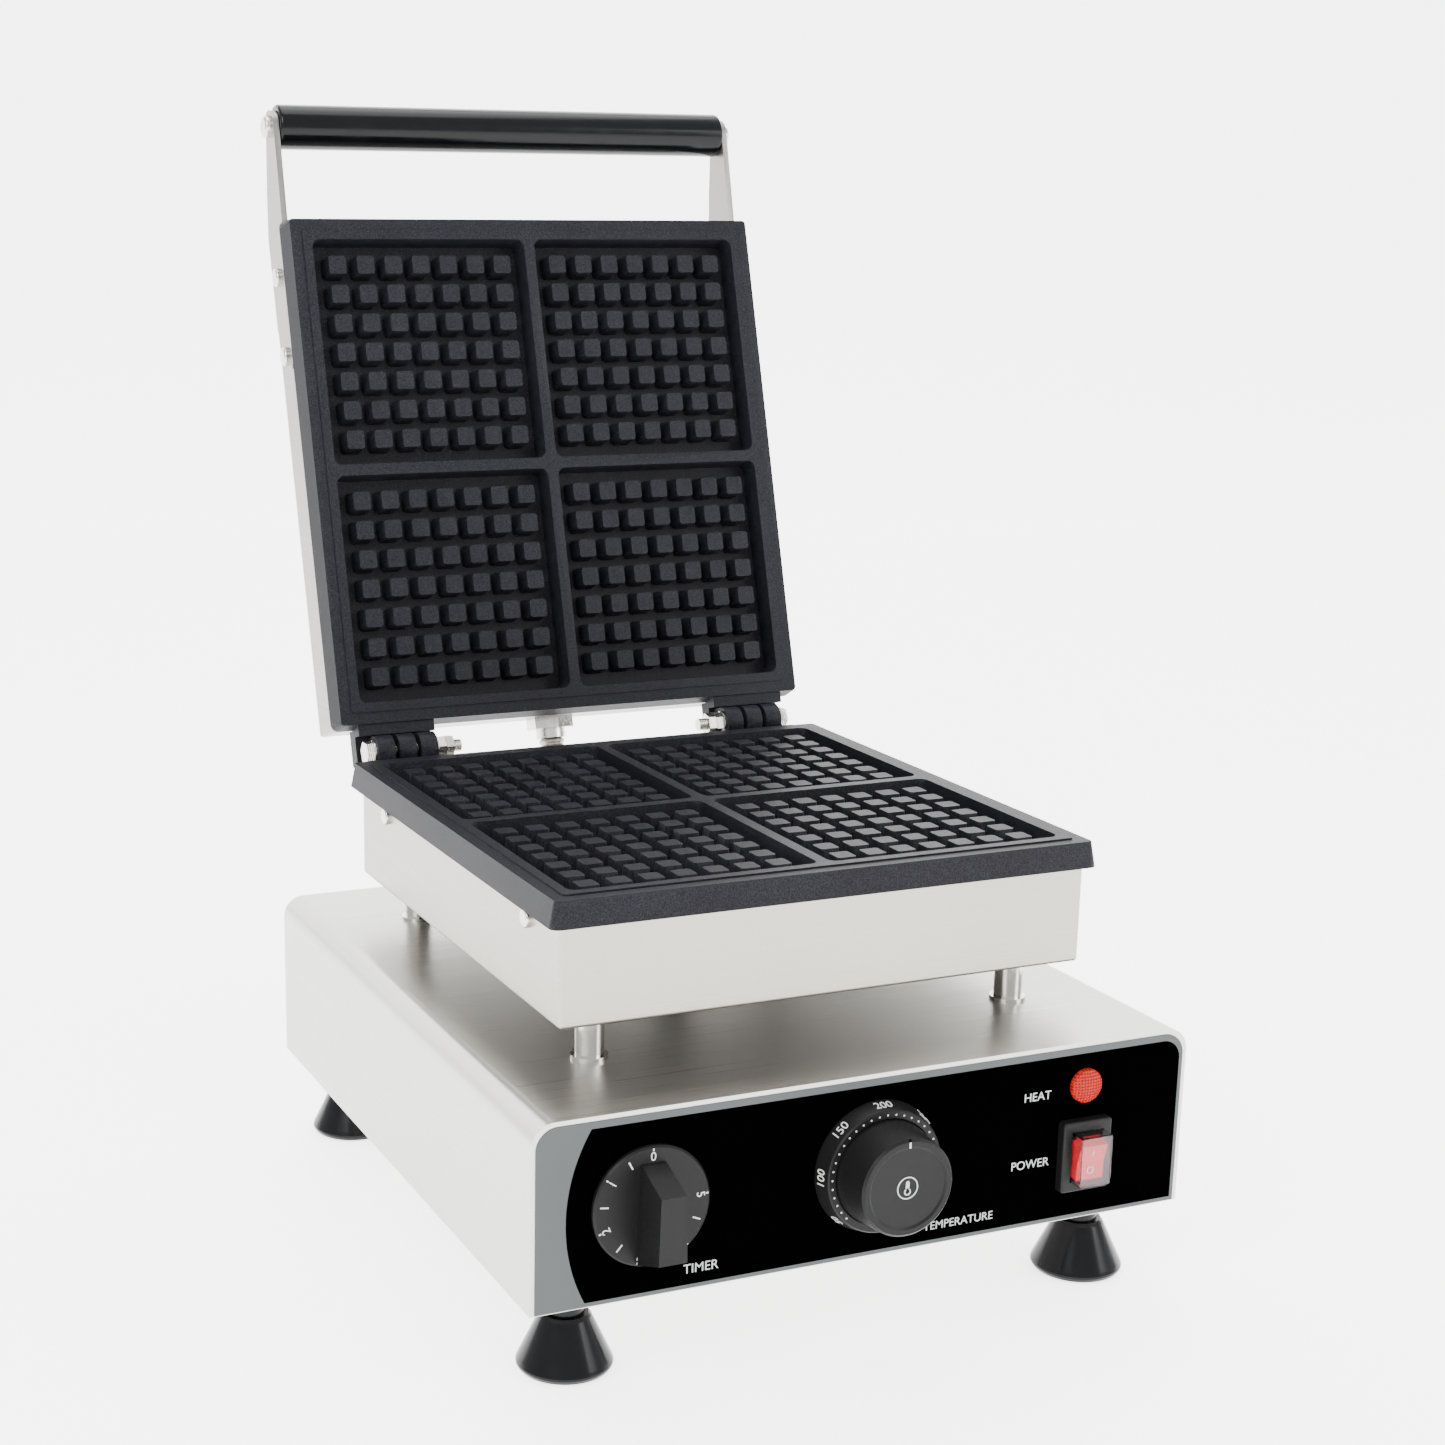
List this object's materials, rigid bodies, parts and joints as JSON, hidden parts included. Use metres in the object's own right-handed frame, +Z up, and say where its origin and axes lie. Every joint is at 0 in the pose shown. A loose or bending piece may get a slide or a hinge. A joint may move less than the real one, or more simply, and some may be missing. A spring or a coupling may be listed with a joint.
{
  "type": "waffle maker",
  "caption": "Electric waffle iron: steel base with timer, thermostat dial and switch, studded square-mould plates and a tilting lid with a bar handle.",
  "frame": {"origin": "on the table, in the middle of the width and of the overall depth with the lid open", "axes": "+Z up, -Y towards the user (the control panel faces -Y), +X to the user's right along the hinge"},
  "size_m": [0.304, 0.455, 0.504],
  "materials": {
    "brushed_stainless": "satin",
    "coated_aluminium": "speckled matte",
    "panel_film": "gloss",
    "black_gloss": "gloss",
    "black_satin": "satin",
    "zinc_fastener": "satin",
    "polished_steel": "polished",
    "lamp_red": "gloss",
    "rocker_red": "gloss",
    "clear_boot": "gloss",
    "conduit_metal": "satin",
    "mineral_wool": "matte",
    "copper": "satin",
    "thermoset": "matte",
    "rubber_black": "matte"
  },
  "bodies": {
    "base": {"base_casing": "brushed_stainless", "bottom_plate": "brushed_stainless", "bottom_plate_screws": "zinc_fastener", "front_overlay": "panel_film", "foot_front_left": "black_gloss", "foot_front_right": "black_gloss", "foot_rear_left": "black_gloss", "foot_rear_right": "black_gloss", "foot_bolts": "zinc_fastener", "support_posts": "polished_steel", "post_washers": "polished_steel", "post_bolts": "zinc_fastener", "base_nuts": "zinc_fastener", "lead_sleeve": "rubber_black", "lower_housing": "brushed_stainless", "lower_housing_screws": "zinc_fastener", "lower_plate": "coated_aluminium", "lower_element": "polished_steel", "lower_clamp_bars": "brushed_stainless", "lower_clamp_bolts": "zinc_fastener", "lower_insulation": "mineral_wool", "thermostat_body": "thermoset", "thermostat_sensor": "copper", "control_screws": "zinc_fastener", "temperature_scale": "black_satin", "timer_body": "thermoset", "switch_body": "black_satin", "switch_boot": "clear_boot", "heat_lamp_lens": "lamp_red", "heat_lamp_body": "thermoset", "terminal_block": "thermoset", "cord_gland": "black_satin", "cord_gland_nut": "black_satin", "hinge_bolts": "zinc_fastener", "hinge_nuts": "zinc_fastener", "hinge_washers": "zinc_fastener", "conduit_hose": "conduit_metal", "conduit_grommet": "rubber_black"},
    "lid": {"upper_plate": "coated_aluminium", "upper_cover": "brushed_stainless", "upper_cover_screws": "zinc_fastener", "upper_element": "polished_steel", "upper_clamp_bars": "brushed_stainless", "upper_clamp_bolts": "zinc_fastener", "upper_insulation": "mineral_wool", "handle_arm_left": "brushed_stainless", "handle_arm_right": "brushed_stainless", "handle_grip": "black_gloss", "handle_rod": "zinc_fastener", "handle_screws": "zinc_fastener", "arm_screws": "zinc_fastener", "arm_nuts": "zinc_fastener", "conduit_fitting": "zinc_fastener", "conduit_locknut": "zinc_fastener"},
    "timer_dial": {"timer_knob": "black_satin", "timer_shaft": "zinc_fastener"},
    "temperature_dial": {"temperature_knob": "black_satin", "temperature_shaft": "zinc_fastener"},
    "rocker": {"power_rocker": "rocker_red"}
  },
  "joints": [
    {"name": "lid_hinge", "type": "hinge", "parent": "base", "child": "lid", "pos_m": [0, 0.10444, 0.19515], "axis": [1, 0, 0], "range_deg": [0, 107], "deforming": ["conduit_hose"]},
    {"name": "timer_turn", "type": "hinge", "parent": "base", "child": "timer_dial", "pos_m": [-0.102, -0.20146, 0.08], "axis": [0, 1, 0], "range_deg": [0, 275]},
    {"name": "temperature_turn", "type": "hinge", "parent": "base", "child": "temperature_dial", "pos_m": [0, -0.20146, 0.08], "axis": [0, 1, 0], "range_deg": [-135, 90]},
    {"name": "rocker_tilt", "type": "hinge", "parent": "base", "child": "rocker", "pos_m": [0.1005, -0.20146, 0.0702], "axis": [-1, 0, 0], "range_deg": [0, 20]}
  ]
}
